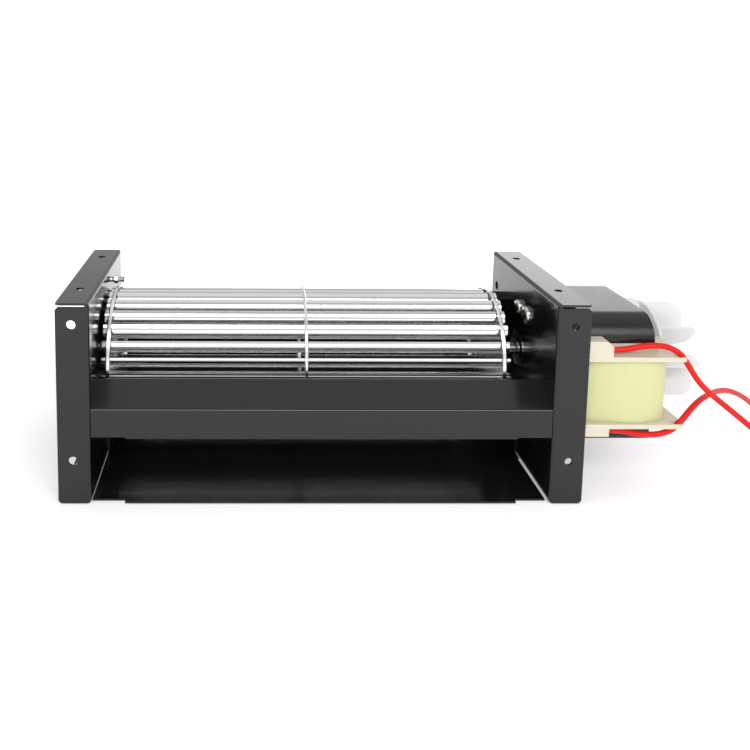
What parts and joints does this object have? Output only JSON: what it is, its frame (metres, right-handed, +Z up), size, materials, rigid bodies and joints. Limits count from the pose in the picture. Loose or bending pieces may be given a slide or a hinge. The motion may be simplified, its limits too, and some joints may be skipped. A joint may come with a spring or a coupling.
{
  "type": "cross flow fan",
  "caption": "Cross flow fan: a bladed drum impeller in an open sheet duct between two folded black side plates, driven by a shaded-pole motor with a coil, a cooling fan and loose leads.",
  "frame": {"origin": "middle of the bottom plane of the two side plates, half way between their webs and half way through their depth", "axes": "+X along the impeller shaft towards the motor, +Y from the discharge side to the back, +Z up"},
  "size_m": [0.3769, 0.0987, 0.0915],
  "materials": {
    "black_paint": "semi-gloss",
    "zinc": "bright zinc plate",
    "rubber": "matt",
    "sintered_bronze": "matt",
    "black_core": "satin",
    "copper": "bare",
    "cream_plastic": "satin",
    "yellow_tape": "smooth tape",
    "red_lead": "smooth insulation",
    "tinned_wire": "tinned strands",
    "bright_aluminium": "bright",
    "steel": "ground",
    "dark_steel": "blackened",
    "white_plastic": "translucent satin"
  },
  "bodies": {
    "housing": {"left_side_plate": "black_paint", "right_side_plate": "black_paint", "volute_sheet": "black_paint", "tongue_sheet": "black_paint", "duct_rivets": "black_paint", "left_bearing_cup": "zinc", "bearing_rivets": "zinc", "left_bearing_rubber": "rubber", "left_bush": "sintered_bronze", "gauge_screw": "zinc", "gauge_nut": "zinc", "front_bracket": "zinc", "rear_bracket": "zinc", "front_motor_bush": "sintered_bronze", "rear_motor_bush": "sintered_bronze", "long_clamp_screws": "zinc", "clamp_nuts": "zinc", "bracket_screws": "zinc", "stator_core": "black_core", "coil_leg": "black_core", "shading_rings": "copper", "coil_bobbin": "cream_plastic", "coil_winding": "yellow_tape", "upper_lead": "red_lead", "upper_lead_end": "tinned_wire", "lower_lead": "red_lead", "lower_lead_end": "tinned_wire"},
    "impeller": {"impeller_blades": "bright_aluminium", "left_end_disc": "bright_aluminium", "centre_ring": "bright_aluminium", "right_end_disc": "bright_aluminium", "left_stub_shaft": "steel", "impeller_hub": "bright_aluminium", "hub_grub_screw": "dark_steel", "rotor": "bright_aluminium", "motor_shaft": "steel", "thrust_washers": "cream_plastic", "cooling_fan": "white_plastic"}
  },
  "joints": [
    {"name": "impeller_spin", "type": "hinge", "parent": "housing", "child": "impeller", "pos_m": [0, 0.0025, 0.0534], "axis": [1, 0, 0], "continuous": true}
  ]
}
